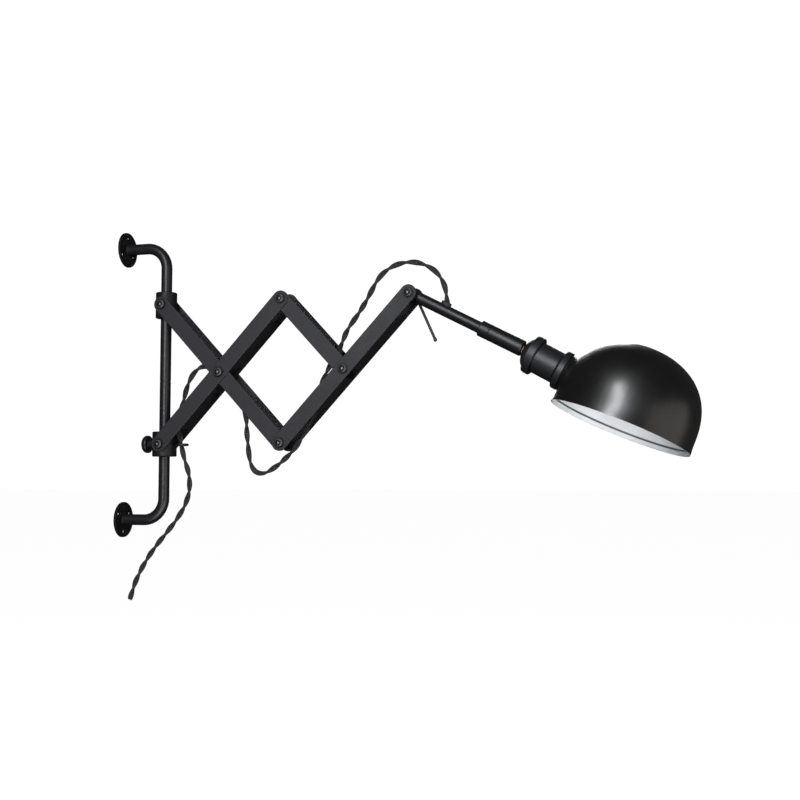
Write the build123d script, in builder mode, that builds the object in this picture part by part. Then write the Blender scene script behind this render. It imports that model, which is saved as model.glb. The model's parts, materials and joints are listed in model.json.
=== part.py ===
from build123d import *
import math
import os

os.makedirs("parts", exist_ok=True)

# ---------------------------------------------------------------------------
# Accordion wall lamp, millimetres.
# Origin: on the wall plane, midway between the two wall flanges.
# +X points out from the wall, +Z up. The folding arm lies in the XZ plane.
# ---------------------------------------------------------------------------

# --- wall bracket -----------------------------------------------------------
TUBE_R = 6.35            # half-inch tube
TUBE_BORE = 4.85         # 1.5 mm wall
TUBE_X = 53.0            # upright tube axis, out from the wall
FLANGE_Z = 159.0         # wall flange centres, up and down
BEND_R = 25.0            # bend centreline radius
SEAM_Z = 1.6             # butt seam between the two bent tubes
FLANGE_R = 20.5
FLANGE_T = 2.6
FLANGE_PCD = 28.0
FLANGE_HOLE_R = 2.25

# --- folding arm ------------------------------------------------------------
HALF = 110.0             # pivot to pivot
PHI = math.radians(47.4)  # slope of every arm at rest
SHEET = 1.2
STRIP = 18.0             # width of a channel's side, and its end diameter
IN_A = 12.6              # inner channel: inside half width
OUT_A = IN_A + SHEET
IN_B = 14.3              # outer channel: inside half width
OUT_B = IN_B + SHEET
HOLE_R = 2.55
SHANK_R = 2.5
EDGE = 0.8               # rounding of the sheet's outer edges

CX, CZ = HALF * math.cos(PHI), HALF * math.sin(PHI)
TOP_Z = 90.5
P1 = Vector(TUBE_X, 0, TOP_Z)
P2 = Vector(TUBE_X, 0, TOP_Z - 2 * CZ)
P3 = Vector(TUBE_X + CX, 0, TOP_Z - CZ)
P4 = Vector(TUBE_X + 2 * CX, 0, TOP_Z)
P5 = Vector(TUBE_X + 2 * CX, 0, TOP_Z - 2 * CZ)
P6 = Vector(TUBE_X + 3 * CX, 0, TOP_Z - CZ)
P7 = Vector(TUBE_X + 4 * CX, 0, TOP_Z)

# --- collars on the upright tube ---------------------------------------------
COLLAR_BORE = 6.40
UPPER_R, UPPER_H = 12.3, 30.0
LOWER_R, LOWER_H = 14.0, 28.8

# --- head -------------------------------------------------------------------
HEAD_DROP = math.radians(27.5)     # head tube, below horizontal
SOCKET_DROP = math.radians(29.5)   # lampholder axis, below horizontal
SWIVEL_TURN = -6.09                # head turned about its own axis at rest
KNUCKLE_R, KNUCKLE_HALF = 8.0, 14.0
COLLAR_S0, SEAM_S, SLEEVE_S1 = 86.3, 97.8, 138.5
SLEEVE_R = 8.85
SHADE_WALL = 1.0

X, Y, Z = Vector(1, 0, 0), Vector(0, 1, 0), Vector(0, 0, 1)

head_dir = Vector(math.cos(HEAD_DROP), 0, -math.sin(HEAD_DROP))
head_up = Vector(math.sin(HEAD_DROP), 0, math.cos(HEAD_DROP))
head_axis = Axis(P7, head_dir)


def turned(v):
    """A direction of the swivelling head, after its turn about the head tube."""
    return v.rotate(Axis((0, 0, 0), head_dir), SWIVEL_TURN)


def turned_at(p):
    """A point of the swivelling head, after its turn about the head tube."""
    return P7 + turned(p - P7)


def along_head(s):
    return P7 + head_dir * s


# lampholder axis: leaves the head tube's line 115 mm from the pivot
sock_dir = turned(Vector(math.cos(SOCKET_DROP), 0, -math.sin(SOCKET_DROP)))
sock_rad = turned(Vector(math.sin(SOCKET_DROP), 0, math.cos(SOCKET_DROP)))
sock_bend = along_head(115.0)


def along_socket(s):
    return sock_bend + sock_dir * (s - 115.0)


def section(at, along, radial, points):
    """A closed half section, points given as (radius, distance along)."""
    with BuildSketch(Plane(origin=at, x_dir=radial, z_dir=radial.cross(along))) as half:
        with BuildLine():
            Polyline(*points, close=True)
        make_face()
    return half.sketch


def save(part, name):
    part.label = name
    export_step(part, "parts/" + name + ".step")


# ---------------------------------------------------------------------------
# Wall bracket: two bent tubes butted on a hidden joiner, a flange on each end
# ---------------------------------------------------------------------------
with BuildPart() as bracket_tube_upper:
    with BuildLine() as run_upper:
        FilletPolyline((0.4, 0, FLANGE_Z), (TUBE_X, 0, FLANGE_Z), (TUBE_X, 0, SEAM_Z + 0.15), radius=BEND_R)
    with BuildSketch(Plane(origin=(0.4, 0, FLANGE_Z), z_dir=X)):
        Circle(TUBE_R)
        Circle(TUBE_BORE, mode=Mode.SUBTRACT)
    sweep(path=run_upper.line)
    chamfer(bracket_tube_upper.edges().filter_by(GeomType.CIRCLE).group_by(Axis.Z)[0].sort_by(SortBy.RADIUS)[-1], 0.35)
save(bracket_tube_upper.part, "bracket_tube_upper")

with BuildPart() as bracket_tube_lower:
    with BuildLine() as run_lower:
        FilletPolyline((0.4, 0, -FLANGE_Z), (TUBE_X, 0, -FLANGE_Z), (TUBE_X, 0, SEAM_Z - 0.15), radius=BEND_R)
    with BuildSketch(Plane(origin=(0.4, 0, -FLANGE_Z), z_dir=X)):
        Circle(TUBE_R)
        Circle(TUBE_BORE, mode=Mode.SUBTRACT)
    sweep(path=run_lower.line)
    chamfer(bracket_tube_lower.edges().filter_by(GeomType.CIRCLE).group_by(Axis.Z)[-1].sort_by(SortBy.RADIUS)[-1], 0.35)
save(bracket_tube_lower.part, "bracket_tube_lower")

with BuildPart() as tube_joiner:
    with BuildSketch(Plane.XY.offset(SEAM_Z - 24)):
        with Locations((TUBE_X, 0)):
            Circle(TUBE_BORE - 0.02)
            Circle(3.4, mode=Mode.SUBTRACT)
    extrude(amount=48)
save(tube_joiner.part, "tube_joiner")

for name, up in (("wall_flange_upper", 1), ("wall_flange_lower", -1)):
    with BuildPart() as wall_flange:
        with BuildSketch(Plane(origin=(0, 0, up * FLANGE_Z), x_dir=Y, z_dir=X)):
            Circle(FLANGE_R)
            Circle(TUBE_R + 0.01, mode=Mode.SUBTRACT)
            with PolarLocations(FLANGE_PCD / 2, 3, start_angle=90 * up):
                Circle(FLANGE_HOLE_R, mode=Mode.SUBTRACT)
        extrude(amount=FLANGE_T)
        fillet(wall_flange.edges().filter_by(GeomType.CIRCLE).group_by(Axis.X)[-1].sort_by(SortBy.RADIUS)[-1], 0.8)
        chamfer(wall_flange.edges().filter_by(GeomType.CIRCLE).group_by(Axis.X)[-1].sort_by(SortBy.RADIUS)[:3], 0.7)
        # weld bead round the tube
        revolve(section(Vector(0, 0, up * FLANGE_Z), X, Y,
                        [(TUBE_R + 0.01, FLANGE_T - 0.2), (TUBE_R + 1.5, FLANGE_T - 0.2), (TUBE_R + 1.5, FLANGE_T),
                         (TUBE_R + 0.7, FLANGE_T + 0.25), (TUBE_R + 0.25, FLANGE_T + 0.75), (TUBE_R + 0.01, FLANGE_T + 1.3)]),
                axis=Axis((0, 0, up * FLANGE_Z), X))
    save(wall_flange.part, name)

# ---------------------------------------------------------------------------
# Upper collar: turns on the upright tube, carries the first arm
# ---------------------------------------------------------------------------
with BuildPart() as collar_upper:
    with BuildSketch(Plane.XY.offset(TOP_Z - UPPER_H / 2)):
        with Locations((TUBE_X, 0)):
            Circle(UPPER_R)
            Circle(COLLAR_BORE, mode=Mode.SUBTRACT)
    extrude(amount=UPPER_H)
    chamfer(collar_upper.edges().filter_by(GeomType.CIRCLE).group_by(SortBy.RADIUS)[-1], 0.7)
    with BuildSketch(Plane(origin=P1, x_dir=X, z_dir=-Y)):
        Circle(SHANK_R + 0.02)
    extrude(amount=20, both=True, mode=Mode.SUBTRACT)
    with BuildSketch(Plane(origin=P1 + Z * 11.8, x_dir=X, z_dir=-Y)):
        Circle(1.52)
    extrude(amount=20, mode=Mode.SUBTRACT)
save(collar_upper.part, "collar_upper")

with BuildPart() as collar_grub_screw:
    with BuildSketch(Plane(origin=P1 + Z * 11.8 - Y * 6.9, x_dir=X, z_dir=-Y)):
        Circle(1.5)
    extrude(amount=5.0)
    with BuildSketch(Plane(origin=P1 + Z * 11.8 - Y * 11.9, x_dir=X, z_dir=-Y)):
        RegularPolygon(0.85, 6)
    extrude(amount=-1.6, mode=Mode.SUBTRACT)
save(collar_grub_screw.part, "collar_grub_screw")


# half section of a button head: radius, height above the seat
HEAD_POINTS = [(0, 0), (4.75, 0), (4.75, 0.6), (4.55, 1.2), (4.1, 1.8), (3.45, 2.3), (2.75, 2.65), (2.4, 2.75), (0, 2.75)]

# shoulder screws: one from each side into each collar, a washer under each head
for name, pivot, seat, side_face in (("pivot_screws_upper", P1, OUT_A + 1.1, OUT_A), ("pivot_screws_lower", P2, OUT_B + 1.1, OUT_B)):
    with BuildPart() as screws:
        for side in (-1, 1):
            revolve(section(pivot + Y * (side * seat), Y * side, X, HEAD_POINTS), axis=Axis(pivot, Y))
            with BuildSketch(Plane(origin=pivot + Y * (side * 7.0), x_dir=X, z_dir=Y * side)):
                Circle(SHANK_R)
            extrude(amount=seat - 7.0)
            with BuildSketch(Plane(origin=pivot + Y * (side * (seat + 2.75)), x_dir=X, z_dir=Y * side)):
                RegularPolygon(1.73, 6)
            extrude(amount=-1.7, mode=Mode.SUBTRACT)
    save(screws.part, name)
    with BuildPart() as washers:
        for side in (-1, 1):
            with BuildSketch(Plane(origin=pivot + Y * (side * (seat - 1.0)), x_dir=X, z_dir=Y * side)):
                Circle(5.4)
                Circle(SHANK_R + 0.02, mode=Mode.SUBTRACT)
            extrude(amount=0.98)
    save(washers.part, name.replace("screws", "washers"))

# ---------------------------------------------------------------------------
# Lower collar: slides on the upright tube, carries the second arm
# ---------------------------------------------------------------------------
EYE_X = 75.4             # screw eye's loop centre
EYE_Z = P2.Z - 0.9
EYE_R, EYE_WIRE = 6.2, 1.5

with BuildPart() as collar_lower:
    with BuildSketch(Plane.XY.offset(P2.Z - LOWER_H / 2)):
        with Locations((TUBE_X, 0)):
            Circle(LOWER_R)
            Circle(COLLAR_BORE, mode=Mode.SUBTRACT)
    extrude(amount=LOWER_H)
    chamfer(collar_lower.edges().filter_by(GeomType.CIRCLE).group_by(SortBy.RADIUS)[-1], 0.7)
    with BuildSketch(Plane(origin=P2, x_dir=X, z_dir=-Y)):
        Circle(SHANK_R + 0.02)
    extrude(amount=20, both=True, mode=Mode.SUBTRACT)
    with BuildSketch(Plane(origin=P2, x_dir=Y, z_dir=-X)):
        Circle(3.06)
    extrude(amount=20, mode=Mode.SUBTRACT)
    with BuildSketch(Plane(origin=(TUBE_X, 0, EYE_Z), x_dir=Y, z_dir=X)):
        Circle(EYE_WIRE + 0.02)
    extrude(amount=20, mode=Mode.SUBTRACT)
save(collar_lower.part, "collar_lower")

with BuildPart() as cord_ring:
    with BuildSketch(Plane(origin=(EYE_X + EYE_R, 0, EYE_Z), x_dir=X, z_dir=Y)):
        Circle(EYE_WIRE)
    revolve(axis=Axis((EYE_X, 0, EYE_Z), Z))
    with BuildSketch(Plane(origin=(TUBE_X + 7.2, 0, EYE_Z), x_dir=Y, z_dir=X)):
        Circle(EYE_WIRE)
    extrude(amount=EYE_X - EYE_R - TUBE_X - 7.2)
save(cord_ring.part, "cord_ring")

# thumbscrew on the wall side locks the lower collar to the tube
with BuildPart() as thumbscrew_knob:
    revolve(section(Vector(25.8, 0, P2.Z), X, Z,
                    [(0, 0), (3.2, 0.12), (5.6, 0.5), (7.4, 1.1), (8.7, 1.9), (9.6, 2.9), (10.1, 4.0), (10.25, 5.2),
                     (10.25, 6.6), (9.9, 7.4), (9.2, 7.8), (5.4, 7.8), (4.9, 8.2), (4.9, 11.6), (4.5, 12.0), (3.02, 12.0), (3.02, 3.0), (0, 3.0)]),
            axis=Axis((25.8, 0, P2.Z), X))
save(thumbscrew_knob.part, "thumbscrew_knob")

with BuildPart() as thumbscrew_stud:
    revolve(section(Vector(28.8, 0, P2.Z), X, Z,
                    [(0, 0), (3.0, 0), (3.0, 16.7), (2.2, 17.5), (0, 17.5)]), axis=Axis((25.8, 0, P2.Z), X))
save(thumbscrew_stud.part, "thumbscrew_stud")

# ---------------------------------------------------------------------------
# Four folded channels. Each side is a strip with round ends; the web is cut
# back round the pivots so that the arms can fold past each other.
# ---------------------------------------------------------------------------
down = Vector(math.cos(PHI), 0, -math.sin(PHI))
rise = Vector(math.cos(PHI), 0, math.sin(PHI))
ARMS = {
    # name: first pivot, direction, length, inside, outside, web side, web windows, pivots
    "arm_a_channel": (P1, down, 220.0, IN_A, OUT_A, 1, ((-20, 25), (96, 157), (211, 240)), (0, 110, 220)),
    "arm_b_channel": (P2, rise, 220.0, IN_B, OUT_B, -1, ((-20, 31.5), (83.2, 126.2), (194, 240)), (0, 110, 220)),
    "arm_c_channel": (P4, down, 110.0, IN_A, OUT_A, 1, ((-20, 8.5), (81.5, 130)), (0, 110)),
    "arm_d_channel": (P5, rise, 220.0, IN_B, OUT_B, -1, ((-20, 53), (104.3, 120), (193.5, 240)), (0, 110, 220)),
}
for name, (start, toward, length, inside, outside, web, windows, pivots) in ARMS.items():
    side_plane = Plane(origin=start, x_dir=toward, z_dir=-Y)
    with BuildPart() as channel:
        with BuildSketch(side_plane):
            with Locations((length / 2, 0)):
                SlotCenterToCenter(length, STRIP)
        extrude(amount=outside, both=True)
        fillet(channel.faces().filter_by(Axis.Y).edges(), EDGE)
        with BuildSketch(side_plane):
            with Locations((length / 2, -web * (20 - (STRIP / 2 - SHEET)) / 2)):
                Rectangle(length + 40, 20 + STRIP / 2 - SHEET)
        extrude(amount=inside, both=True, mode=Mode.SUBTRACT)
        for x0, x1 in windows:
            with BuildSketch(side_plane):
                with Locations(((x0 + x1) / 2, web * (STRIP / 2))):
                    RectangleRounded(x1 - x0, 6, 1.2)
            extrude(amount=inside, both=True, mode=Mode.SUBTRACT)
        with BuildSketch(side_plane):
            with Locations(*[(p, 0) for p in pivots]):
                Circle(HOLE_R)
        extrude(amount=20, both=True, mode=Mode.SUBTRACT)
    save(channel.part, name)

# pivot bolts, nuts and washers: they stay with the outer channels
for tag, pivots in (("b", (P3, P4)), ("d", (P5, P6))):
    seat = OUT_B + 1.0
    with BuildPart() as bolts:
        for pivot in pivots:
            revolve(section(pivot - Y * seat, -Y, X, HEAD_POINTS), axis=Axis(pivot, Y))
            with BuildSketch(Plane(origin=pivot - Y * seat, x_dir=X, z_dir=Y)):
                Circle(SHANK_R)
            extrude(amount=2 * seat + 4.6)
            with BuildSketch(Plane(origin=pivot - Y * (seat + 2.75), x_dir=X, z_dir=-Y)):
                RegularPolygon(1.73, 6)
            extrude(amount=-1.7, mode=Mode.SUBTRACT)
    save(bolts.part, "pivot_bolts_" + tag)
    with BuildPart() as nuts:
        for pivot in pivots:
            with BuildSketch(Plane(origin=pivot + Y * seat, x_dir=X, z_dir=Y)):
                RegularPolygon(4.62, 6)
                Circle(SHANK_R + 0.02, mode=Mode.SUBTRACT)
            extrude(amount=2.9)
            revolve(section(pivot + Y * (seat + 2.9), Y, X, [(2.52, 0), (3.95, 0), (3.95, 0.9), (3.5, 1.3), (2.52, 1.3)]),
                    axis=Axis(pivot, Y))
    save(nuts.part, "pivot_nuts_" + tag)
    with BuildPart() as outer_washers:
        for pivot in pivots:
            for side in (-1, 1):
                with BuildSketch(Plane(origin=pivot + Y * (side * OUT_B), x_dir=X, z_dir=Y * side)):
                    Circle(5.4)
                    Circle(SHANK_R + 0.02, mode=Mode.SUBTRACT)
                extrude(amount=1.0)
    save(outer_washers.part, "pivot_washers_" + tag)
    with BuildPart() as slip_washers:
        for pivot in pivots:
            for side in (-1, 1):
                with BuildSketch(Plane(origin=pivot + Y * (side * (OUT_A + 0.1)), x_dir=X, z_dir=Y * side)):
                    Circle(7.0)
                    Circle(SHANK_R + 0.02, mode=Mode.SUBTRACT)
                extrude(amount=0.4)
    save(slip_washers.part, "slip_washers_" + tag)

# ---------------------------------------------------------------------------
# Tilt joint at the end of the arm, with its clamp bolt and locking lever
# ---------------------------------------------------------------------------
seat = OUT_B + 1.0
with BuildPart() as clamp_bolt:
    revolve(section(P7 - Y * seat, -Y, X, HEAD_POINTS), axis=Axis(P7, Y))
    with BuildSketch(Plane(origin=P7 - Y * seat, x_dir=X, z_dir=Y)):
        Circle(SHANK_R)
    extrude(amount=seat + 25.2)
    with BuildSketch(Plane(origin=P7 - Y * (seat + 2.75), x_dir=X, z_dir=-Y)):
        RegularPolygon(1.73, 6)
    extrude(amount=-1.7, mode=Mode.SUBTRACT)
save(clamp_bolt.part, "clamp_bolt")

with BuildPart() as clamp_washer:
    with BuildSketch(Plane(origin=P7 - Y * OUT_B, x_dir=X, z_dir=-Y)):
        Circle(5.4)
        Circle(SHANK_R + 0.02, mode=Mode.SUBTRACT)
    extrude(amount=0.98)
save(clamp_washer.part, "clamp_washer")

LEVER_Y = 19.6
lever_dir = Vector(21.6, 0, -48.4).normalized()
with BuildPart() as lever_hub:
    revolve(section(P7 + Y * (OUT_B + 0.3), Y, X,
                    [(HOLE_R + 0.02, 0), (5.6, 0), (6.3, 0.7), (6.3, 7.0), (5.4, 8.0), (HOLE_R + 0.02, 8.0)]), axis=Axis(P7, Y))
    with BuildSketch(Plane(origin=P7 + Y * LEVER_Y + lever_dir * 3.5, z_dir=lever_dir)):
        Circle(1.62)
    extrude(amount=10, mode=Mode.SUBTRACT)
save(lever_hub.part, "lever_hub")

with BuildPart() as lever_rod:
    revolve(section(P7 + Y * LEVER_Y + lever_dir * 3.6, lever_dir, Y,
                    [(0, 0), (1.6, 0), (1.6, 47.4), (1.95, 47.8), (1.95, 50.6), (1.45, 51.3), (0, 51.6)]),
            axis=Axis(P7 + Y * LEVER_Y, lever_dir))
save(lever_rod.part, "lever_rod")

# knuckle: barrel across the channel, spigot inside the head tube
with BuildPart() as knuckle:
    with BuildSketch(Plane(origin=P7, x_dir=X, z_dir=Y)):
        Circle(KNUCKLE_R)
    extrude(amount=KNUCKLE_HALF, both=True)
    chamfer(knuckle.edges().filter_by(GeomType.CIRCLE), 0.5)
    with BuildSketch(Plane(origin=P7, x_dir=Y, z_dir=head_dir)):
        Circle(TUBE_BORE - 0.02)
    extrude(amount=22)
    with BuildSketch(Plane(origin=P7, x_dir=X, z_dir=Y)):
        Circle(HOLE_R)
    extrude(amount=20, both=True, mode=Mode.SUBTRACT)
save(knuckle.part, "knuckle")

GROMMET_S = 40.4
grommet_at = along_head(GROMMET_S) + head_up * TUBE_R
# the cord leaves the grommet nearly upright
CORD_R = 3.15
cord_out = Vector(-0.9, 0, 14.0).normalized()
cord_root = Vector(391.15, 0, 76.0)

with BuildPart() as head_tube:
    with BuildSketch(Plane(origin=along_head(2.0), x_dir=Y, z_dir=head_dir)):
        Circle(TUBE_R)
        Circle(TUBE_BORE, mode=Mode.SUBTRACT)
    extrude(amount=90.0)
    with BuildSketch(Plane(origin=P7, x_dir=X, z_dir=Y)):
        Circle(KNUCKLE_R + 0.01)
    extrude(amount=20, both=True, mode=Mode.SUBTRACT)
    with BuildSketch(Plane(origin=cord_root - cord_out * 4, x_dir=Y, z_dir=cord_out)):
        Circle(CORD_R + 0.45)
    extrude(amount=20, mode=Mode.SUBTRACT)
save(head_tube.part, "head_tube")

with BuildPart() as cable_grommet:
    with BuildSketch(Plane(origin=grommet_at - head_up * 1.2, x_dir=head_dir, z_dir=head_up)):
        Ellipse(5.9, 4.6)
    extrude(amount=4.4)
    fillet(cable_grommet.faces().sort_by(Axis(grommet_at, head_up))[-1].edges(), 1.2)
    with BuildSketch(Plane(origin=along_head(30), x_dir=Y, z_dir=head_dir)):
        Circle(TUBE_R + 0.01)
    extrude(amount=22, mode=Mode.SUBTRACT)
    with BuildSketch(Plane(origin=cord_root - cord_out * 6, x_dir=Y, z_dir=cord_out)):
        Circle(CORD_R + 0.02)
    extrude(amount=20, mode=Mode.SUBTRACT)
save(cable_grommet.part, "cable_grommet")

# the two flex cores, drawn as one lead, run inside the tube to the swivel
with BuildPart() as lead_in_tube:
    with BuildSketch(Plane(origin=along_head(33.0), x_dir=Y, z_dir=head_dir)):
        Circle(2.3)
    extrude(amount=53.0)
save(lead_in_tube.part, "lead_in_tube")

with BuildPart() as swivel_collar:
    revolve(section(P7, head_dir, head_up,
                    [(TUBE_R + 0.01, COLLAR_S0), (SLEEVE_R - 0.7, COLLAR_S0), (SLEEVE_R, COLLAR_S0 + 0.7),
                     (SLEEVE_R, SEAM_S - 0.45), (SLEEVE_R - 0.35, SEAM_S - 0.1), (4.05, SEAM_S - 0.1),
                     (4.05, 92.0), (TUBE_R + 0.01, 92.0)]), axis=head_axis)
save(swivel_collar.part, "swivel_collar")

# ---------------------------------------------------------------------------
# Swivelling head: turns about the head tube's axis
# ---------------------------------------------------------------------------
with BuildPart() as swivel_stud:
    revolve(section(P7, head_dir, head_up,
                    [(2.6, 89.0), (4.45, 89.0), (4.45, 91.6), (4.0, 91.6), (4.0, 112.0), (2.6, 112.0)]), axis=head_axis)
save(swivel_stud.part, "swivel_stud")

with BuildPart() as swivel_sleeve:
    revolve(section(P7, head_dir, head_up,
                    [(4.01, SEAM_S + 0.1), (SLEEVE_R - 0.35, SEAM_S + 0.1), (SLEEVE_R, SEAM_S + 0.45),
                     (SLEEVE_R, SLEEVE_S1 - 1.3), (SLEEVE_R - 0.4, SLEEVE_S1 - 0.5), (SLEEVE_R - 1.2, SLEEVE_S1),
                     (3.5, SLEEVE_S1), (3.5, 126.0), (6.4, 126.0), (6.4, 112.0), (4.01, 112.0)]), axis=head_axis)
    with BuildSketch(Plane(origin=along_socket(120.0), x_dir=sock_rad, z_dir=sock_dir)):
        Circle(5.02)
    extrude(amount=30, mode=Mode.SUBTRACT)
save(swivel_sleeve.part, "swivel_sleeve")

with BuildPart() as nipple:
    with BuildSketch(Plane(origin=along_socket(127.0), x_dir=sock_rad, z_dir=sock_dir)):
        Circle(5.0)
        Circle(3.3, mode=Mode.SUBTRACT)
    extrude(amount=18.5)
    # locking ring of the nipple, seen in the gap below the sleeve
    with BuildSketch(Plane(origin=along_socket(SLEEVE_S1 + 0.45), x_dir=sock_rad, z_dir=sock_dir)):
        Circle(6.9)
        Circle(4.0, mode=Mode.SUBTRACT)
    extrude(amount=0.9)
save(nipple.part, "nipple")

CAP_S0, CAP_S1 = 140.2, 148.0
with BuildPart() as socket_cap:
    revolve(section(sock_bend - sock_dir * 115.0, sock_dir, sock_rad,
                    [(5.02, 140.2), (6.8, 140.2), (9.6, 140.9), (12.4, 142.2), (14.9, 144.0), (16.7, 146.2), (17.4, 148.0),
                     (17.4, 149.5), (16.2, 149.5), (16.2, 148.2), (15.4, 146.6), (13.9, 144.9), (11.7, 143.3), (9.2, 142.3), (7.6, 142.0),
                     (7.6, 145.0), (5.02, 145.0)]), axis=Axis(sock_bend, sock_dir))
save(socket_cap.part, "socket_cap")

with BuildPart() as socket_shell:
    revolve(section(sock_bend - sock_dir * 115.0, sock_dir, sock_rad,
                    [(15.0, 149.6), (16.9, 149.6), (16.9, 156.2), (17.2, 156.4), (17.2, 181.2), (16.2, 181.8), (16.2, 204.0),
                     (15.6, 204.6), (14.8, 204.6), (14.8, 176.0), (15.0, 176.0)]), axis=Axis(sock_bend, sock_dir))
save(socket_shell.part, "socket_shell")

with BuildPart() as socket_ring:
    revolve(section(sock_bend - sock_dir * 115.0, sock_dir, sock_rad,
                    [(17.42, 147.6), (20.2, 147.6), (20.7, 148.0), (20.7, 149.6), (21.2, 150.0), (21.2, 155.4), (20.6, 156.1),
                     (17.42, 156.1)]), axis=Axis(sock_bend, sock_dir))
save(socket_ring.part, "socket_ring")

with BuildPart() as shade_ring_outer:
    revolve(section(sock_bend - sock_dir * 115.0, sock_dir, sock_rad,
                    [(16.22, 182.4), (19.2, 182.4), (20.4, 182.9), (21.3, 184.2), (21.3, 189.6), (20.6, 190.4), (16.22, 190.4)]),
            axis=Axis(sock_bend, sock_dir))
save(shade_ring_outer.part, "shade_ring_outer")

with BuildPart() as shade_ring_inner:
    revolve(section(sock_bend - sock_dir * 115.0, sock_dir, sock_rad,
                    [(16.22, 192.6), (19.6, 192.6), (19.6, 196.2), (19.2, 196.6), (16.22, 196.6)]), axis=Axis(sock_bend, sock_dir))
save(shade_ring_inner.part, "shade_ring_inner")

with BuildPart() as socket_insulator:
    revolve(section(sock_bend - sock_dir * 115.0, sock_dir, sock_rad,
                    [(3.4, 158.0), (14.6, 158.0), (14.6, 179.1), (3.4, 179.1)]), axis=Axis(sock_bend, sock_dir))
save(socket_insulator.part, "socket_insulator")

with BuildPart() as screw_shell:
    revolve(section(sock_bend - sock_dir * 115.0, sock_dir, sock_rad,
                    [(4.6, 179.2), (14.0, 179.2), (14.0, 203.6), (13.2, 203.6), (13.2, 180.0), (4.6, 180.0)]), axis=Axis(sock_bend, sock_dir))
save(screw_shell.part, "screw_shell")

with BuildPart() as centre_contact:
    with BuildSketch(Plane(origin=along_socket(170.0), x_dir=sock_rad, z_dir=sock_dir)):
        Circle(3.35)
    extrude(amount=9.9)
    fillet(centre_contact.edges().filter_by(GeomType.CIRCLE).sort_by(Axis(along_socket(0), sock_dir))[-1], 0.8)
save(centre_contact.part, "centre_contact")

with BuildPart() as lead_in_socket:
    with BuildSketch(Plane(origin=along_head(92.5), x_dir=Y, z_dir=head_dir)):
        Circle(2.3)
    extrude(amount=33.0)
    with BuildSketch(Plane(origin=along_socket(124.0), x_dir=sock_rad, z_dir=sock_dir)):
        Circle(2.3)
    extrude(amount=45.8)
save(lead_in_socket.part, "lead_in_socket")

# --- spun dome shade ---------------------------------------------------------
RIM_AT = Vector(573.66, 0, -59.34)      # rim centre before the head's turn
RIM_SLOPE = math.radians(-22.23)
DOME_R, DOME_H, LIP_Z, LIP_FLARE = 75.38, 87.87, 11.04, 0.67
rim_along = turned(Vector(math.cos(RIM_SLOPE), 0, math.sin(RIM_SLOPE)))
rim_up = turned(Vector(-math.sin(RIM_SLOPE), 0, math.cos(RIM_SLOPE)))
rim_at = turned_at(RIM_AT)


def dome_radius(z):
    if z >= LIP_Z:
        u = (z - LIP_Z) / (DOME_H - LIP_Z)
        return DOME_R * max(0.0, 1 - u ** 2.48) ** (1 / 2.15)
    return DOME_R + LIP_FLARE * ((LIP_Z - z) / LIP_Z) ** 1.5


DOME_Z = [0.0, 4.0, 8.0, 12.0, 20.0, 28.0, 36.0, 44.0, 52.0, 60.0, 67.0, 73.0, 78.0, 82.0, 85.0, 86.9]
outer = [(dome_radius(z), z) for z in DOME_Z]


def shrink(points, t):
    """Offset the dome's meridian inwards by t, square to it."""
    out = []
    for i, (r, z) in enumerate(points):
        r0, z0 = points[max(i - 1, 0)]
        r1, z1 = points[min(i + 1, len(points) - 1)]
        dr, dz = r1 - r0, z1 - z0
        n = math.hypot(dr, dz)
        out.append((r - t * dz / n, z + t * dr / n))
    return out


inner = shrink(outer, SHADE_WALL)
shade_plane = Plane(origin=rim_at, x_dir=-rim_along, z_dir=(-rim_along).cross(rim_up))
HEM = 5.6
with BuildPart() as shade:
    with BuildSketch(shade_plane):
        with BuildLine():
            Spline(*outer, (0, DOME_H), tangents=((-0.05, 1), (-1, 0)))
            Line((0, DOME_H), (0, 0))
            Line((0, 0), outer[0])
        make_face()
    revolve(axis=Axis(rim_at, rim_up))
    # neck that flares from the lampholder into the dome
    revolve(section(sock_bend - sock_dir * 115.0, sock_dir, sock_rad,
                    [(0, 190.5), (20.0, 190.5), (20.4, 191.3), (21.2, 192.8), (22.4, 194.4), (24.0, 196.0), (26.2, 197.6), (28.6, 199.0), (28.6, 204.0), (0, 204.0)]),
            axis=Axis(sock_bend, sock_dir))
    with BuildSketch(shade_plane):
        with BuildLine():
            Spline(*inner, (0, DOME_H - SHADE_WALL), tangents=((-0.05, 1), (-1, 0)))
            Line((0, DOME_H - SHADE_WALL), (0, -2))
            Line((0, -2), (inner[0][0], -2))
            Line((inner[0][0], -2), inner[0])
        make_face()
    revolve(axis=Axis(rim_at, rim_up), mode=Mode.SUBTRACT)
    # folded hem inside the rim
    revolve(section(rim_at, rim_up, -rim_along,
                    [(inner[0][0] + 0.3, 0.0), (inner[0][0] + 0.25, HEM - 0.4), (inner[0][0] - 0.55, HEM),
                     (inner[0][0] - 0.9, HEM - 0.5), (inner[0][0] - 0.75, 0.5), (inner[0][0] - 0.3, 0.0)]),
            axis=Axis(rim_at, rim_up))
    # seat for the inner ring, and the lampholder's hole
    with BuildSketch(Plane(origin=along_socket(192.5), x_dir=sock_rad, z_dir=sock_dir)):
        Circle(20.0)
    extrude(amount=16, mode=Mode.SUBTRACT)
    with BuildSketch(Plane(origin=along_socket(188.0), x_dir=sock_rad, z_dir=sock_dir)):
        Circle(16.3)
    extrude(amount=20, mode=Mode.SUBTRACT)
save(shade.part, "shade")

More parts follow.
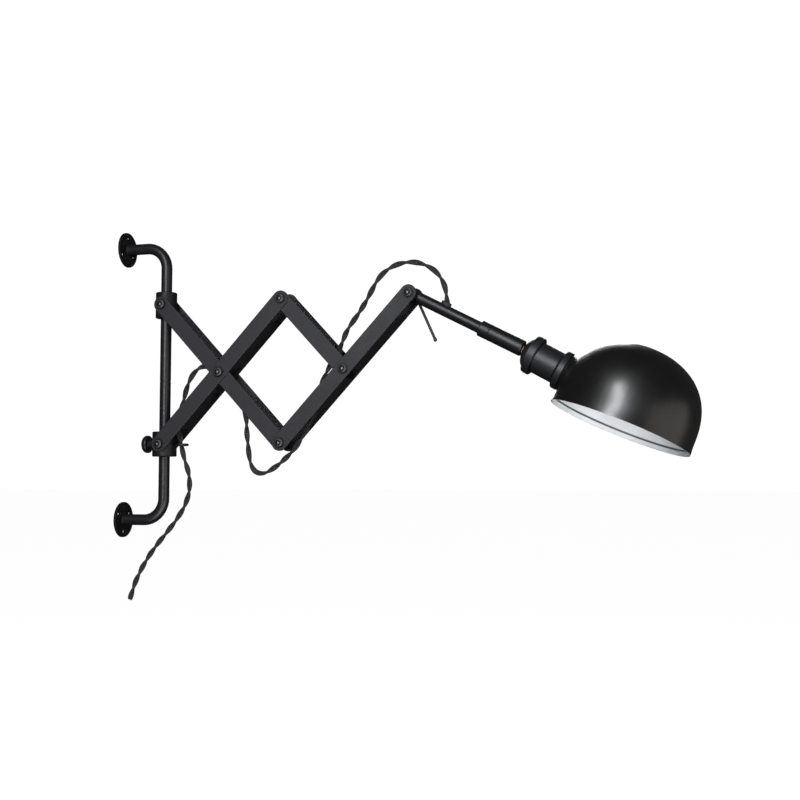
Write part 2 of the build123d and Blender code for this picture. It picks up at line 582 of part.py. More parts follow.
# ---------------------------------------------------------------------------
# Flex: twisted pair in cloth, limp, 6.3 mm over both cores. Four stretches,
# meeting face to face inside the channels.
# ---------------------------------------------------------------------------
CORD = {
    "cord_head": [
        (391.15, 0, 76.0), (390.35, 0, 88.4), (387.6, 0, 100.6), (381.4, 0, 111.6), (371.6, 0, 120.0), (359.4, 0, 125.4), (346.0, 0, 127.0),
        (332.6, 0, 124.4), (320.6, 0, 118.2), (311.2, 0, 108.4), (304.6, 0, 96.4), (296.8, 0, 82.4), (286.6, 0, 67.6),
        (276.2, 0, 54.2), (270.0, 0, 38.6), (263.4, 0, 24.4), (253.9, 0, 11.2), (246.8, 0, -4.4), (242.5, 0, -19.4)],
    "cord_middle": [
        (242.5, 0, -19.4), (239.189, 0, -30.95), (233.9, 0, -45.0), (227.4, 0, -58.4), (219.4, 0, -72.0), (209.2, 0, -83.6),
        (198.6, 0, -92.9), (187.6, 0, -101.0), (177.2, 0, -105.8), (167.4, 0, -104.2), (161.6, 0, -95.6), (159.2, 0, -84.4), (157.9, 0, -71.6),
        (156.2, 0, -58.2), (156.0, 0, -44.6), (153.7, 0, -34.6), (148.5, 0, -26.07), (143.9, 0, -19.2)],
    "cord_lower": [
        (143.9, 0, -19.2), (136.925, 0, -8.784), (127.6, 0, 0.6), (118.2, 0, 9.8), (108.8, 0, 17.8), (98.4, 0, 18.0),
        (90.0, 0, 11.6), (84.0, 0, 2.4), (80.2, 0, -7.8), (77.4, 0, -18.6), (74.6, 0, -29.8), (71.4, 0, -40.6), (70.6, 0, -48.8)],
    "cord_tail": [
        (70.6, 0, -48.8), (69.896, 0, -56.016), (73.4, 0, -66.4), (75.6, 0, -77.4), (78.8, 0, -89.6), (83.2, 0.6, -101.4), (84.6, 2.4, -114.0),
        (82.6, 5.4, -127.4), (76.4, 9.0, -140.6), (68.0, 11.4, -153.0), (58.4, 12.4, -165.0), (48.2, 12.6, -176.8),
        (38.2, 12.0, -188.6), (28.8, 11.2, -201.4), (20.6, 10.6, -214.8), (13.6, 10.2, -228.6), (8.6, 10.2, -241.6), (5.4, 10.4, -252.6)],
}
for name, points in CORD.items():
    v = [Vector(*p) for p in points]
    radii = []
    for i in range(1, len(v) - 1):
        a, b = v[i] - v[i - 1], v[i + 1] - v[i]
        turn = a.get_angle(b)
        radii.append(0.45 * min(a.length, b.length) / math.tan(math.radians(turn) / 2))
    with BuildPart() as cord:
        with BuildLine() as route:
            FilletPolyline(*points, radius=radii)
        with BuildSketch(Plane(origin=v[0], z_dir=(v[1] - v[0]).normalized())):
            Circle(CORD_R)
        sweep(path=route.line)
    save(cord.part, name)
    length = route.line.length if hasattr(route.line, "length") else sum(e.length for e in route.edges())
    print(name, "length %.1f" % length, "volume ratio %.4f" % (cord.part.volume / (math.pi * CORD_R ** 2 * length)),
          "tightest %.1f" % min(radii), "radii", " ".join("%.0f" % r for r in radii))
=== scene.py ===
import json
import math

import bpy
import numpy as np
from mathutils import Matrix, Vector


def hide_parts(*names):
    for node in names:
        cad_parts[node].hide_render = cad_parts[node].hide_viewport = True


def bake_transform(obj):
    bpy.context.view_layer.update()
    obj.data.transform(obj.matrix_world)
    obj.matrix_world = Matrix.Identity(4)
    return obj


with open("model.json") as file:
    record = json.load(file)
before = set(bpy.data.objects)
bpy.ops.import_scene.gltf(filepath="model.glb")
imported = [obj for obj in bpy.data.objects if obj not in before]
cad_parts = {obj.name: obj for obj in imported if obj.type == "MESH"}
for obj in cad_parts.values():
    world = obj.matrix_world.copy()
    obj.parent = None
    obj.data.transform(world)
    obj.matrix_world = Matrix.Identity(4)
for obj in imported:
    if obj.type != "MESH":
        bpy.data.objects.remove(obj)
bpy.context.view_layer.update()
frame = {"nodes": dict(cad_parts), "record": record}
nodes = frame["nodes"]
scene = bpy.context.scene

# ---------------------------------------------------------------------------
# Camera: a little below the lamp, turned towards the wall
# ---------------------------------------------------------------------------
yaw, pitch = math.radians(16.115), math.radians(3.857)
right = Vector((math.cos(yaw), math.sin(yaw), 0))
ahead = Vector((-math.sin(yaw) * math.cos(pitch), math.cos(yaw) * math.cos(pitch), math.sin(pitch)))
above = right.cross(ahead)
camera_data = bpy.data.cameras.new("camera")
camera_data.lens, camera_data.sensor_width, camera_data.sensor_fit = 50.5035, 36.0, "HORIZONTAL"
camera_data.clip_start, camera_data.clip_end = 0.05, 200.0
camera = bpy.data.objects.new("camera", camera_data)
turn = Matrix((right, above, -ahead)).transposed().to_4x4()
camera.matrix_world = Matrix.Translation((0.67732, -1.17617, -0.10787)) @ turn
scene.collection.objects.link(camera)
scene.camera = camera

# ---------------------------------------------------------------------------
# Flex: two cloth-covered cores twisted together, in four stretches
# ---------------------------------------------------------------------------
CORE_R = 0.00157          # radius of one covered core
OFFSET = 0.00158          # each core's centre from the flex's centre
RING = 14
# lengths along the flex where one core lies behind the other, seen from the front
EDGE_ON = [v / 1000 for v in (
    -9, 11.1, 31.7, 56.3, 80, 101.5, 123.3, 143.3, 160.3, 180.8, 198, 217.7, 237.4, 257.2, 277, 296.8, 316.6,
    336.4, 352.8, 371.5, 395.2, 417.0, 437.4, 458.3, 479.3, 500.3, 521.3, 542.3, 563.2, 582.9, 600.3, 617.7,
    635.0, 656.3, 673.6, 692.3, 712.1, 732.9, 752.9, 772.3, 791.3, 809.4, 828.0, 847.0)]

ROUTES = {
    "cord_head": [
        (0.39115, 0, 0.0760), (0.39035, 0, 0.0884), (0.3876, 0, 0.1006), (0.3814, 0, 0.1116), (0.3716, 0, 0.1200),
        (0.3594, 0, 0.1254), (0.3460, 0, 0.1270), (0.3326, 0, 0.1244), (0.3206, 0, 0.1182), (0.3112, 0, 0.1084),
        (0.3046, 0, 0.0964), (0.2968, 0, 0.0824), (0.2866, 0, 0.0676), (0.2762, 0, 0.0542), (0.2700, 0, 0.0386),
        (0.2634, 0, 0.0244), (0.2539, 0, 0.0112), (0.2468, 0, -0.0044), (0.2425, 0, -0.0194)],
    "cord_middle": [
        (0.2425, 0, -0.0194), (0.239189, 0, -0.03095), (0.2339, 0, -0.0450), (0.2274, 0, -0.0584), (0.2194, 0, -0.0720),
        (0.2092, 0, -0.0836), (0.1986, 0, -0.0929), (0.1876, 0, -0.1010), (0.1772, 0, -0.1058), (0.1674, 0, -0.1042),
        (0.1616, 0, -0.0956), (0.1592, 0, -0.0844), (0.1579, 0, -0.0716), (0.1562, 0, -0.0582), (0.1560, 0, -0.0446),
        (0.1537, 0, -0.0346), (0.1485, 0, -0.02607), (0.1439, 0, -0.0192)],
    "cord_lower": [
        (0.1439, 0, -0.0192), (0.136925, 0, -0.008784), (0.1276, 0, 0.0006), (0.1182, 0, 0.0098), (0.1088, 0, 0.0178),
        (0.0984, 0, 0.0180), (0.0900, 0, 0.0116), (0.0840, 0, 0.0024), (0.0802, 0, -0.0078), (0.0774, 0, -0.0186),
        (0.0746, 0, -0.0298), (0.0714, 0, -0.0406), (0.0706, 0, -0.0488)],
    "cord_tail": [
        (0.0706, 0, -0.0488), (0.069896, 0, -0.056016), (0.0734, 0, -0.0664), (0.0756, 0, -0.0774), (0.0788, 0, -0.0896),
        (0.0832, 0.0006, -0.1014), (0.0846, 0.0024, -0.1140), (0.0826, 0.0054, -0.1274), (0.0764, 0.0090, -0.1406),
        (0.0680, 0.0114, -0.1530), (0.0584, 0.0124, -0.1650), (0.0482, 0.0126, -0.1768), (0.0382, 0.0120, -0.1886),
        (0.0288, 0.0112, -0.2014), (0.0206, 0.0106, -0.2148), (0.0136, 0.0102, -0.2286), (0.0086, 0.0102, -0.2416),
        (0.0054, 0.0104, -0.2526)],
}


def spline_points(name, points):
    """The points of a smooth curve whose control points are the route."""
    curve = bpy.data.curves.new(name + "_route", "CURVE")
    curve.dimensions, curve.resolution_u = "3D", 16
    spline = curve.splines.new("NURBS")
    spline.points.add(len(points) - 1)
    for point, place in zip(spline.points, points):
        point.co = (*place, 1.0)
    spline.order_u = 3
    spline.use_endpoint_u = True
    holder = bpy.data.objects.new(name + "_route", curve)
    scene.collection.objects.link(holder)
    mesh = bpy.data.meshes.new_from_object(holder.evaluated_get(bpy.context.evaluated_depsgraph_get()))
    line = np.array([v.co for v in mesh.vertices], float)
    bpy.data.objects.remove(holder)
    bpy.data.meshes.remove(mesh)
    bpy.data.curves.remove(curve)
    if np.linalg.norm(line[0] - np.array(points[0])) > np.linalg.norm(line[-1] - np.array(points[0])):
        line = line[::-1]
    return line


def unit(v):
    return v / np.linalg.norm(v, axis=-1, keepdims=True)


def twisted_pair(name, line, begun, last):
    """Two cores wound round the line. begun is the flex's length before it."""
    along = unit(np.gradient(line, axis=0))
    side = np.array((0.0, 1.0, 0.0)) - along * along[:, 1:2]
    side = unit(side)
    over = np.cross(along, side)
    travelled = begun + np.concatenate([[0], np.cumsum(np.linalg.norm(np.diff(line, axis=0), axis=1))])
    phase = math.pi * np.interp(travelled, EDGE_ON, np.arange(len(EDGE_ON)))
    verts, faces, uvs = [], [], []
    for core in range(2):
        a = (phase + math.pi * core)[:, None]
        centre = line + OFFSET * (np.cos(a) * side + np.sin(a) * over)
        tangent = unit(np.gradient(centre, axis=0))
        out = np.cos(a) * side + np.sin(a) * over
        out = unit(out - tangent * (out * tangent).sum(1, keepdims=True))
        across = np.cross(tangent, out)
        radius = np.full(len(centre), CORE_R)
        if last:  # the cut end is drawn in a little
            left = travelled[-1] - travelled
            radius = CORE_R * np.clip(0.62 + 0.38 * np.sqrt(np.clip(left / 0.0022, 0, 1)), 0, 1)
        base = len(verts)
        for i in range(len(centre)):
            for k in range(RING):
                t = 2 * math.pi * k / RING
                verts.append(tuple(centre[i] + radius[i] * (math.cos(t) * out[i] + math.sin(t) * across[i])))
        for i in range(len(centre) - 1):
            for k in range(RING):
                n = (k + 1) % RING
                faces.append((base + i * RING + k, base + i * RING + n, base + (i + 1) * RING + n, base + (i + 1) * RING + k))
                v0, v1 = travelled[i] / (2 * math.pi * CORE_R), travelled[i + 1] / (2 * math.pi * CORE_R)
                u0, u1 = k / RING, (k + 1) / RING
                uvs += [(u0, v0), (u1, v0), (u1, v1), (u0, v1)]
        for i, order in ((0, range(RING)), (len(centre) - 1, range(RING))):
            middle = len(verts)
            push = tangent[i] * (0.0005 if i else -0.0002)
            verts.append(tuple(centre[i] + push))
            for k in order:
                n = (k + 1) % RING
                a0, a1 = base + i * RING + k, base + i * RING + n
                faces.append((a0, a1, middle) if i else (a1, a0, middle))
                v0 = travelled[i] / (2 * math.pi * CORE_R)
                uvs += [(k / RING, v0), ((k + 1) / RING, v0), ((k + 0.5) / RING, v0 + 0.1)]
    mesh = bpy.data.meshes.new(name)
    mesh.from_pydata(verts, [], faces)
    layer = mesh.uv_layers.new(name="Braid")
    flat = []
    for polygon in mesh.polygons:
        polygon.use_smooth = True
    for uv in uvs:
        flat += uv
    layer.data.foreach_set("uv", flat)
    mesh.validate()
    made = bpy.data.objects.new(name, mesh)
    scene.collection.objects.link(made)
    return made, travelled[-1]


cords, so_far = {}, 0.0
for name, points in ROUTES.items():
    line = spline_points(name, points)
    flex, so_far = twisted_pair(name.replace("cord_", "flex_"), line, so_far, name == "cord_tail")
    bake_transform(flex)
    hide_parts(name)
    cords[name] = flex

# ---------------------------------------------------------------------------
# Materials
# ---------------------------------------------------------------------------


class Paint:
    """One material, with short names for the nodes it uses."""

    def __init__(self, name, base, rough, metal=0.0, level=0.5):
        self.m = bpy.data.materials.new(name)
        self.m.use_nodes = True
        self.t = self.m.node_tree
        self.t.nodes.clear()
        self.out = self.t.nodes.new("ShaderNodeOutputMaterial")
        self.b = self.t.nodes.new("ShaderNodeBsdfPrincipled")
        self.t.links.new(self.b.outputs[0], self.out.inputs[0])
        self.b.inputs["Base Color"].default_value = (*base, 1)
        self.b.inputs["Roughness"].default_value = rough
        self.b.inputs["Metallic"].default_value = metal
        self.b.inputs["Specular IOR Level"].default_value = level
        self.place = self.t.nodes.new("ShaderNodeTexCoord").outputs["Object"]

    def link(self, a, b):
        self.t.links.new(a, b)

    def noise(self, scale, detail=3.0, rough=0.55, where=None):
        n = self.t.nodes.new("ShaderNodeTexNoise")
        n.inputs["Scale"].default_value = scale
        n.inputs["Detail"].default_value = detail
        n.inputs["Roughness"].default_value = rough
        self.link(where or self.place, n.inputs["Vector"])
        return n.outputs["Fac"]

    def stretch(self, scales):
        n = self.t.nodes.new("ShaderNodeMapping")
        n.inputs["Scale"].default_value = scales
        self.link(self.place, n.inputs["Vector"])
        return n.outputs["Vector"]

    def math(self, op, a, b=None, clamp=False):
        n = self.t.nodes.new("ShaderNodeMath")
        n.operation, n.use_clamp = op, clamp
        for i, x in enumerate((a, b)):
            if x is None:
                continue
            if isinstance(x, (int, float)):
                n.inputs[i].default_value = x
            else:
                self.link(x, n.inputs[i])
        return n.outputs[0]

    def spread(self, value, a, b, c, d):
        n = self.t.nodes.new("ShaderNodeMapRange")
        for socket, x in zip(("From Min", "From Max", "To Min", "To Max"), (a, b, c, d)):
            n.inputs[socket].default_value = x
        self.link(value, n.inputs["Value"])
        return n.outputs["Result"]

    def mix(self, fac, a, b):
        n = self.t.nodes.new("ShaderNodeMix")
        n.data_type = "RGBA"
        for x, socket in ((fac, n.inputs[0]), (a, n.inputs[6]), (b, n.inputs[7])):
            if isinstance(x, (int, float)):
                socket.default_value = x
            elif isinstance(x, tuple):
                socket.default_value = (*x, 1)
            else:
                self.link(x, socket)
        return n.outputs[2]

    def edge(self, radius, low=0.02, high=0.25):
        """1 along the edges of the metal, 0 on its faces."""
        bevel = self.t.nodes.new("ShaderNodeBevel")
        bevel.samples = 6
        bevel.inputs["Radius"].default_value = radius
        flat = self.t.nodes.new("ShaderNodeNewGeometry")
        dot = self.t.nodes.new("ShaderNodeVectorMath")
        dot.operation = "DOT_PRODUCT"
        self.link(bevel.outputs[0], dot.inputs[0])
        self.link(flat.outputs["Normal"], dot.inputs[1])
        return self.spread(self.math("SUBTRACT", 1.0, dot.outputs["Value"], clamp=True), low, high, 0.0, 1.0)

    def along(self, at, direction):
        """Distance from a point along a direction of the part, in metres."""
        sub = self.t.nodes.new("ShaderNodeVectorMath")
        sub.operation = "SUBTRACT"
        self.link(self.place, sub.inputs[0])
        sub.inputs[1].default_value = at
        dot = self.t.nodes.new("ShaderNodeVectorMath")
        dot.operation = "DOT_PRODUCT"
        self.link(sub.outputs[0], dot.inputs[0])
        dot.inputs[1].default_value = direction
        return dot.outputs["Value"]

    def color(self, source):
        self.link(source, self.b.inputs["Base Color"])

    def rough(self, source):
        self.link(source, self.b.inputs["Roughness"])

    def bump(self, height, distance, strength=1.0, under=None):
        n = self.t.nodes.new("ShaderNodeBump")
        n.inputs["Strength"].default_value = strength
        n.inputs["Distance"].default_value = distance
        self.link(height, n.inputs["Height"])
        if under is not None:
            self.link(under, n.inputs["Normal"])
        self.link(n.outputs[0], self.b.inputs["Normal"])
        return n.outputs[0]


def coated(name, dark, light, rough, grain, depth, worn=(0.075, 0.075, 0.082), wear=0.5, radius=0.0005, level=0.5):
    """Powder coat or satin paint: fine grain, cloudy gloss, edges worn lighter."""
    p = Paint(name, dark, rough, level=level)
    fine = p.noise(grain, 2.0)
    cloud = p.noise(38.0, 4.0, 0.6)
    tone = p.mix(p.spread(fine, 0.38, 0.62, 0.0, 1.0), dark, light)
    chips = p.noise(420.0, 4.0, 0.65)
    mask = p.math("MULTIPLY", p.edge(radius), p.spread(chips, 0.40, 0.60, 0.25 * wear, wear))
    p.color(p.mix(mask, tone, worn))
    gloss = p.math("ADD", p.spread(cloud, 0.3, 0.7, rough - 0.05, rough + 0.05), p.spread(fine, 0.3, 0.7, -0.012, 0.012))
    p.rough(p.math("SUBTRACT", gloss, p.math("MULTIPLY", mask, 0.12), clamp=True))
    p.tone = tone
    soft = p.bump(p.noise(grain * 0.45, 2.0), depth * 1.5, 0.4)
    p.bump(fine, depth, 0.5, under=soft)
    return p


arm = coated("arm_black", (0.0185, 0.0178, 0.0218), (0.0255, 0.0245, 0.0300), 0.56, 1900.0, 0.000006)
bracket = coated("bracket_black", (0.0115, 0.0113, 0.0132), (0.0145, 0.0142, 0.0165), 0.39, 2000.0, 0.000001)
tube = coated("tube_black", (0.0105, 0.0105, 0.0125), (0.0135, 0.0135, 0.0155), 0.40, 2000.0, 0.000001)
holder = coated("holder_black", (0.014, 0.0150, 0.0176), (0.021, 0.0222, 0.0258), 0.45, 1700.0, 0.000004, level=0.6)
screw = coated("screw_black", (0.0045, 0.0045, 0.0048), (0.0080, 0.0080, 0.0084), 0.46, 2600.0, 0.000002,
               worn=(0.05, 0.05, 0.053), wear=0.15, radius=0.00020, level=0.25)
# painted highlight: a lighter ring on each screw head's rim round the socket; painted glint: a bright spot on the
# socket's floor
painted_rim_highlight = coated("screw_painted_rim_highlight", (0.085, 0.085, 0.090), (0.135, 0.135, 0.142), 0.36, 2600.0, 0.000003, worn=(0.25, 0.25, 0.26), radius=0.0002)
shade_out = coated("shade_black", (0.0030, 0.0026, 0.0025), (0.0052, 0.0047, 0.0045), 0.38, 1300.0, 0.000006, radius=0.0003, level=0.9)
shade_out.b.inputs["Coat Weight"].default_value = 0.8
shade_out.b.inputs["Coat Roughness"].default_value = 0.25
mottle = shade_out.spread(shade_out.noise(620.0, 3.0, 0.6), 0.35, 0.65, 0.55, 1.0)
shade_out.link(mottle, shade_out.b.inputs["Coat Weight"])
flange = coated("flange_black", (0.0070, 0.0070, 0.0080), (0.0100, 0.0100, 0.0112), 0.55, 2000.0, 0.000002, level=0.18, wear=0.1)
washer = coated("washer_black", (0.0035, 0.0035, 0.0037), (0.0055, 0.0055, 0.0058), 0.50, 2600.0, 0.000002, level=0.22, wear=0.15)
glint = coated("screw_socket_painted_glint", (0.30, 0.30, 0.31), (0.45, 0.45, 0.46), 0.35, 2600.0, 0.000003)
lever = coated("lever_black", (0.024, 0.025, 0.024), (0.036, 0.037, 0.036), 0.46, 2200.0, 0.000002, level=0.5)
collar = coated("collar_black", (0.0085, 0.0088, 0.0105), (0.0130, 0.0134, 0.0155), 0.47, 2000.0, 0.000006, level=0.30)

CX, CZ = 0.110 * math.cos(math.radians(47.4)), 0.110 * math.sin(math.radians(47.4))
PIVOT = {
    "P1": (0.053, 0.0905), "P2": (0.053, 0.0905 - 2 * CZ), "P3": (0.053 + CX, 0.0905 - CZ), "P4": (0.053 + 2 * CX, 0.0905),
    "P5": (0.053 + 2 * CX, 0.0905 - 2 * CZ), "P6": (0.053 + 3 * CX, 0.0905 - CZ), "P7": (0.053 + 4 * CX, 0.0905),
}

# painted shadow: the channels are darkened in a ring round each washer
flat = arm.t.nodes.new("ShaderNodeVectorMath")
flat.operation = "MULTIPLY"
flat.inputs[1].default_value = (1, 0, 1)
arm.link(arm.place, flat.inputs[0])
nearest = None
for at in PIVOT.values():
    gap = arm.t.nodes.new("ShaderNodeVectorMath")
    gap.operation = "DISTANCE"
    gap.inputs[1].default_value = (at[0], 0, at[1])
    arm.link(flat.outputs[0], gap.inputs[0])
    nearest = gap.outputs["Value"] if nearest is None else arm.math("MINIMUM", nearest, gap.outputs["Value"])
# the painted shadow ring, darkest next to the washer
ring = arm.spread(nearest, 0.0060, 0.0078, 0.85, 0.0)
before = arm.b.inputs["Base Color"].links[0].from_socket
arm.color(arm.mix(ring, before, (0.0025, 0.0025, 0.0027)))

steel = Paint("steel_plain", (0.50, 0.50, 0.50), 0.32, metal=1.0)
drawn = steel.noise(220.0, 5.0, 0.6, where=steel.stretch((1, 1, 0.04)))
steel.color(steel.mix(steel.spread(drawn, 0.3, 0.7, 0, 1), (0.40, 0.40, 0.41), (0.60, 0.60, 0.60)))
steel.rough(steel.spread(drawn, 0.3, 0.7, 0.24, 0.42))
steel.bump(drawn, 0.00002, 0.6)

nylon = Paint("nylon", (0.05, 0.05, 0.05), 0.55)
cloud = nylon.noise(600.0, 3.0)
nylon.color(nylon.mix(cloud, (0.035, 0.035, 0.036), (0.065, 0.065, 0.064)))
nylon.rough(nylon.spread(cloud, 0.3, 0.7, 0.48, 0.62))
nylon.bump(cloud, 0.00002, 0.5)

# directions of the swivelled head
P7 = Vector((0.35083, 0, 0.0905))
head_dir = Vector((math.cos(math.radians(27.5)), 0, -math.sin(math.radians(27.5))))
swivel_turn = Matrix.Rotation(math.radians(-6.09), 3, head_dir)
sock_dir = swivel_turn @ Vector((math.cos(math.radians(29.5)), 0, -math.sin(math.radians(29.5))))
sock_bend = P7 + head_dir * 0.115
rim_up = swivel_turn @ Vector((math.sin(math.radians(22.23)), 0, math.cos(math.radians(22.23))))
rim_at = P7 + swivel_turn @ (Vector((0.57366, 0, -0.05934)) - P7)

brass = Paint("brass", (0.72, 0.45, 0.25), 0.28, metal=1.0)
tarnish = brass.noise(900.0, 4.0, 0.65)
turns = brass.along(tuple(sock_bend), tuple(sock_dir))
# painted shade: the thread's grooves are darkened, with a sine along the socket's axis
thread = brass.math("SINE", brass.math("MULTIPLY", turns, 2 * math.pi / 0.0009))
low = brass.spread(thread, -0.9, 0.1, 1.0, 0.0)
brass.color(brass.mix(low, brass.mix(brass.spread(tarnish, 0.35, 0.65, 0, 1), (0.86, 0.47, 0.27), (0.70, 0.34, 0.17)), (0.10, 0.045, 0.025)))
brass.rough(brass.spread(tarnish, 0.3, 0.7, 0.22, 0.40))
brass.bump(thread, 0.00008, 0.7)

porcelain = Paint("porcelain", (0.82, 0.81, 0.77), 0.16)
glaze = porcelain.noise(120.0, 3.0)
porcelain.color(porcelain.mix(glaze, (0.84, 0.83, 0.79), (0.76, 0.75, 0.70)))
porcelain.rough(porcelain.spread(glaze, 0.3, 0.7, 0.12, 0.24))
porcelain.bump(glaze, 0.00005, 0.4)

rubber = Paint("rubber_black", (0.018, 0.018, 0.019), 0.62)
pores = rubber.noise(1400.0, 3.0)
rubber.color(rubber.mix(rubber.spread(pores, 0.35, 0.65, 0, 1), (0.012, 0.012, 0.013), (0.026, 0.026, 0.027)))
rubber.rough(rubber.spread(pores, 0.3, 0.7, 0.52, 0.72))
rubber.bump(pores, 0.00004, 0.6)

sleeve = Paint("lead_sleeve", (0.04, 0.04, 0.04), 0.6)
ply = sleeve.noise(700.0, 3.0)
sleeve.color(sleeve.mix(ply, (0.025, 0.025, 0.026), (0.06, 0.06, 0.06)))
sleeve.rough(sleeve.spread(ply, 0.3, 0.7, 0.5, 0.7))
sleeve.bump(ply, 0.00004, 0.5)

# white enamel inside the shade; a painted shadow line lies on the hem
white = Paint("shade_white", (0.84, 0.85, 0.86), 0.34)
peel = white.noise(700.0, 2.0)
height = white.along(tuple(rim_at), tuple(rim_up))
painted_hem_shadow = white.math("MULTIPLY", white.spread(height, 0.0046, 0.0051, 0, 1), white.spread(height, 0.0066, 0.0074, 1, 0))
white.color(white.mix(white.math("MULTIPLY", painted_hem_shadow, 0.93), white.mix(peel, (0.83, 0.845, 0.86), (0.88, 0.885, 0.89)), (0.02, 0.03, 0.04)))
white.rough(white.spread(peel, 0.3, 0.7, 0.28, 0.42))
white.bump(peel, 0.00004, 0.5)

# braided cloth: yarns wind both ways round each core
cloth = Paint("cord_cloth", (0.02, 0.02, 0.021), 0.78)
uv = cloth.t.nodes.new("ShaderNodeUVMap")
uv.uv_map = "Braid"
parts = cloth.t.nodes.new("ShaderNodeSeparateXYZ")
cloth.link(uv.outputs[0], parts.inputs[0])
round_it, along_it = cloth.math("MULTIPLY", parts.outputs[0], 2 * math.pi * 6), cloth.math("MULTIPLY", parts.outputs[1], 2 * math.pi * 4)
one = cloth.math("SINE", cloth.math("ADD", round_it, along_it))
two = cloth.math("SINE", cloth.math("SUBTRACT", round_it, along_it))
weave = cloth.math("MAXIMUM", one, two)
fuzz = cloth.noise(3200.0, 3.0)
tone = cloth.mix(cloth.spread(weave, -0.4, 1.0, 0, 1), (0.009, 0.009, 0.0098), (0.024, 0.0243, 0.026))
cloth.color(cloth.mix(cloth.spread(fuzz, 0.45, 0.75, 0.0, 0.25), tone, (0.034, 0.034, 0.036)))
cloth.rough(cloth.spread(fuzz, 0.3, 0.7, 0.70, 0.88))
cloth.bump(weave, 0.00006, 0.6, under=cloth.bump(fuzz, 0.00001, 0.3))
cloth.b.inputs["Sheen Weight"].default_value = 0.25
cloth.b.inputs["Sheen Roughness"].default_value = 0.5

FINISH = {
    "bracket_black": bracket, "arm_black": arm, "screw_black": screw, "steel_plain": steel, "nylon": nylon,
    "tube_black": tube, "brass": brass, "holder_black": holder, "porcelain": porcelain, "rubber_black": rubber,
    "lead_sleeve": sleeve, "shade_enamel": shade_out, "cord_cloth": cloth,
}
for part in frame["record"]["subparts"]:
    o = nodes[part["node"]]
    o.data.materials.clear()
    o.data.materials.append(FINISH[part["material_slot"]].m)
for flex in cords.values():
    flex.data.materials.append(cloth.m)
for node in ("collar_upper", "collar_lower"):
    nodes[node].data.materials[0] = collar.m
for node in ("lever_hub", "lever_rod"):
    nodes[node].data.materials[0] = lever.m
for node in ("wall_flange_upper", "wall_flange_lower"):
    nodes[node].data.materials[0] = flange.m
for node in ("pivot_washers_upper", "pivot_washers_lower", "pivot_washers_b", "pivot_washers_d", "clamp_washer"):
    nodes[node].data.materials[0] = washer.m

# screw heads: a painted highlight ring round the socket, and a painted glint on the socket's floor
HEADS = {
    "pivot_bolts_b": ("P3", "P4"), "pivot_bolts_d": ("P5", "P6"), "clamp_bolt": ("P7",),
    "pivot_screws_upper": ("P1",), "pivot_screws_lower": ("P2",),
}
for node, places in HEADS.items():
    mesh = nodes[node].data
    mesh.materials.append(painted_rim_highlight.m)
    mesh.materials.append(glint.m)
    for polygon in mesh.polygons:
        c, n = polygon.center, polygon.normal
        r = min(math.hypot(c.x - PIVOT[at][0], c.z - PIVOT[at][1]) for at in places)
        if abs(c.y) < 0.0150:
            continue
        # faces of the head's rim take the painted highlight; the socket's floor takes the painted glint
        if 0.0036 < r < 0.00472 and abs(n.y) < 0.95:
            polygon.material_index = 1
        elif r < 0.0010 and abs(n.y) > 0.9:
            polygon.material_index = 2

# the shade's inside and rim are white: faces that look towards the dome's middle
shade = nodes["shade"]
shade.data.materials.append(white.m)
middle = np.array(rim_at + rim_up * 0.030)
up = np.array(rim_up)
for polygon in shade.data.polygons:
    c, n = np.array(polygon.center), np.array(polygon.normal)
    inward = float(np.dot(n, middle - c)) > 0.0
    off = c - np.array(sock_bend)
    along = float(np.dot(off, np.array(sock_dir)))
    radial = off - np.array(sock_dir) * along
    if np.linalg.norm(radial) < 0.031 and 0.074 < along < 0.090:   # the neck, about the socket's own line
        inward = float(np.dot(n, radial)) < 0.0 or float(np.dot(n, np.array(sock_dir))) > 0.5
    level = float(np.dot(c - np.array(rim_at), up))
    if inward or (level < 0.0003 and float(np.dot(n, up)) < -0.5):
        polygon.material_index = 1

# ---------------------------------------------------------------------------
# Studio: pale floor, white surround, soft lights in front
# ---------------------------------------------------------------------------
floor_mesh = bpy.data.meshes.new("floor")
floor_mesh.from_pydata([(-60, -60, -0.9), (60, -60, -0.9), (60, 60, -0.9), (-60, 60, -0.9)], [], [(0, 1, 2, 3)])
floor = bpy.data.objects.new("floor", floor_mesh)
scene.collection.objects.link(floor)
pale = Paint("floor_pale", (0.93, 0.93, 0.93), 0.85)
pale.color(pale.mix(pale.noise(3.0, 3.0), (0.92, 0.92, 0.92), (0.95, 0.95, 0.95)))
pale.b.inputs["Emission Color"].default_value = (1, 1, 1, 1)
pale.b.inputs["Emission Strength"].default_value = 0.95
floor.data.materials.append(pale.m)
floor.visible_diffuse = floor.visible_glossy = False

world = bpy.data.worlds.new("studio")
scene.world = world
world.use_nodes = True
w = world.node_tree
w.nodes.clear()
out = w.nodes.new("ShaderNodeOutputWorld")
rays = w.nodes.new("ShaderNodeLightPath")
mix = w.nodes.new("ShaderNodeMixShader")
seen, lit = w.nodes.new("ShaderNodeBackground"), w.nodes.new("ShaderNodeBackground")
seen.inputs["Color"].default_value, seen.inputs["Strength"].default_value = (1, 1, 1, 1), 1.05
lit.inputs["Color"].default_value, lit.inputs["Strength"].default_value = (1, 1, 1, 1), 0.035
w.links.new(rays.outputs["Is Camera Ray"], mix.inputs[0])
w.links.new(lit.outputs[0], mix.inputs[1])
w.links.new(seen.outputs[0], mix.inputs[2])
w.links.new(mix.outputs[0], out.inputs[0])


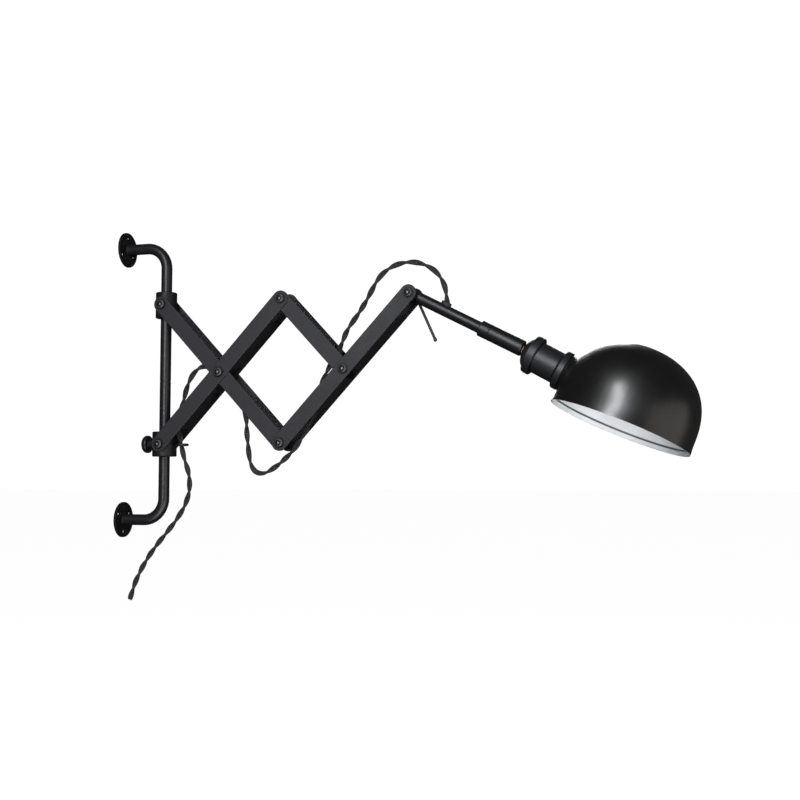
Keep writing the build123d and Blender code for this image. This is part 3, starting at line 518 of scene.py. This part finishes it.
def softbox(name, at, target, wide, tall, glow, tint=(1, 1, 1)):
    """An area light of that radiance, aimed at a point."""
    light = bpy.data.lights.new(name, "AREA")
    light.shape, light.size, light.size_y = "RECTANGLE", wide, tall
    light.energy = glow * math.pi * wide * tall
    light.color = tint
    made = bpy.data.objects.new(name, light)
    made.location = at
    made.rotation_mode = "QUATERNION"
    made.rotation_quaternion = (Vector(target) - Vector(at)).to_track_quat("-Z", "Y")
    scene.collection.objects.link(made)
    return made


softbox("key", (0.30, -2.1, 0.66), (0.3, 0, 0), 0.50, 1.75, 13.0, (0.95, 0.975, 1.0))
back_soft = softbox("back_soft", (0.2, 2.3, 0.75), (0.3, 0, 0), 1.5, 1.6, 10.0)
back_soft.visible_glossy = False
back_gloss = softbox("back_gloss", (0.0, 2.3, 0.75), (0.3, 0, 0), 1.0, 1.6, 6.0)
round_parts = bpy.data.collections.new("round_parts")
for node in ("shade", "socket_shell", "socket_cap", "socket_ring", "shade_ring_outer", "swivel_sleeve", "swivel_collar"):
    round_parts.objects.link(nodes[node])
back_gloss.light_linking.receiver_collection = round_parts
softbox("low_fill", (0.85, -1.45, -1.25), (0.4, 0, 0), 1.7, 1.0, 4.5)
right_fill = softbox("right_fill", (2.6, -1.2, -0.7), (0.4, 0, 0), 2.4, 2.2, 2.0, (1.0, 0.95, 0.91))
shade_right = softbox("shade_right", (2.8, -0.6, -0.8), (0.6, 0, 0), 3.4, 2.4, 0.50, (1.0, 0.94, 0.90))
# a light from the front and below, for the inside of the shade alone
inside = softbox("inside", (0.95, -1.0, -0.85), (0.58, 0, -0.03), 0.7, 0.7, 8.5, (0.96, 0.985, 1.0))
inside.visible_glossy = False
only_shade = bpy.data.collections.new("only_shade")
only_shade.objects.link(shade)
inside.light_linking.receiver_collection = only_shade
shade_right.light_linking.receiver_collection = only_shade
not_shade = bpy.data.collections.new("not_shade")
not_shade.objects.link(shade)
not_shade.collection_objects[0].light_linking.link_state = "EXCLUDE"
right_fill.light_linking.receiver_collection = not_shade

scene.view_settings.view_transform = "Standard"
scene.view_settings.look = "None"
